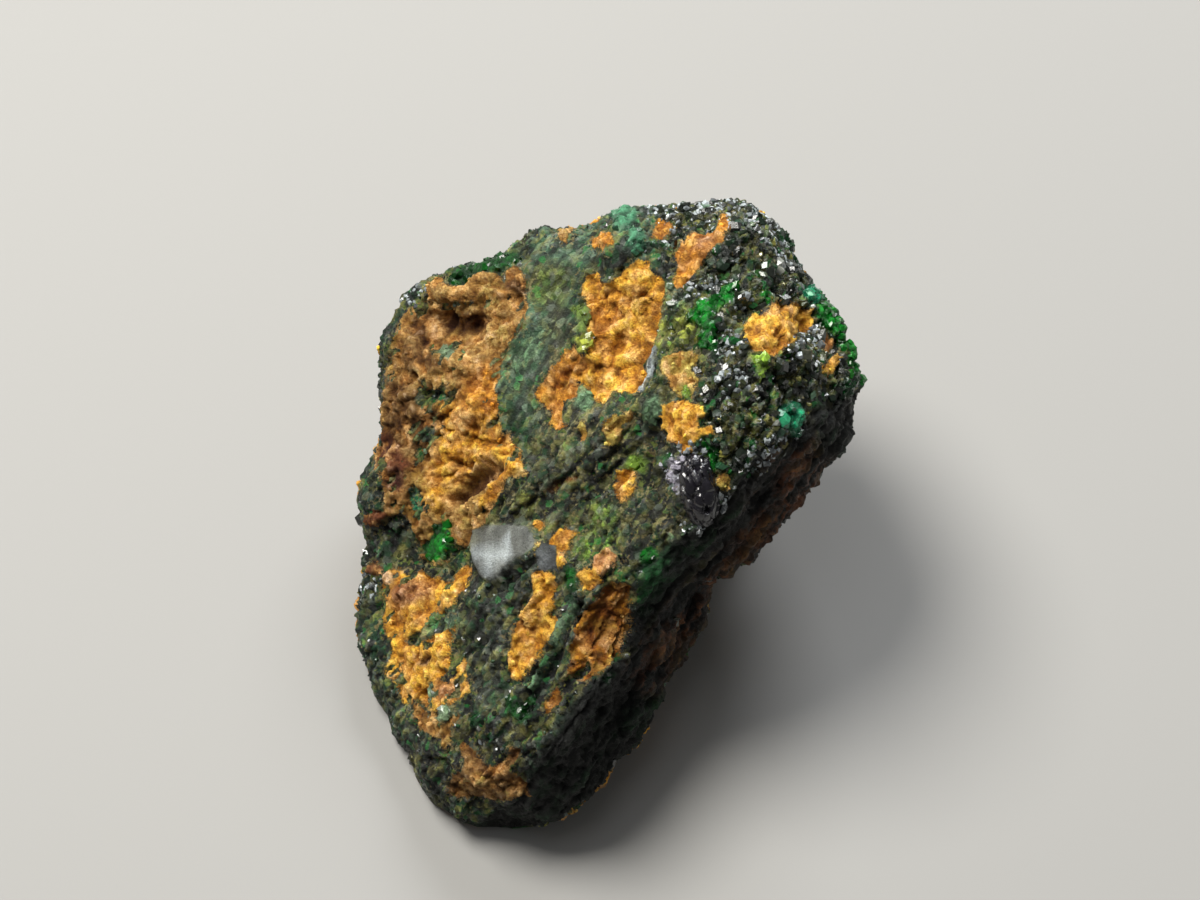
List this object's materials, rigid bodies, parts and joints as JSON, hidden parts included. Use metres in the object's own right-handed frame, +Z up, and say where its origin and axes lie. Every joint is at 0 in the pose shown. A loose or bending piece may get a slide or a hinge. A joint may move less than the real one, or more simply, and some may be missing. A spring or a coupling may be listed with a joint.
{
  "type": "rough garnet mineral specimen",
  "caption": "Small rough piece of dark green uvarovite garnet with golden iron-oxide crust, wedge-shaped, lying on the flat break across its back.",
  "frame": {"origin": "bottom centre of the stone's bounding box, on the floor that it lies on", "axes": "+Z up from the resting face, +X to the right across the stone's best side, +Y towards the stone's high, broad end; its narrow end points to -Y"},
  "size_m": [0.0086, 0.01, 0.0064],
  "materials": {
    "garnet": "dark green granular garnet, glossy on its small crystal faces and earthy where golden to rust-brown iron oxide has grown into it"
  },
  "bodies": {
    "root": {"uvarovite_stone": "garnet"}
  },
  "joints": []
}
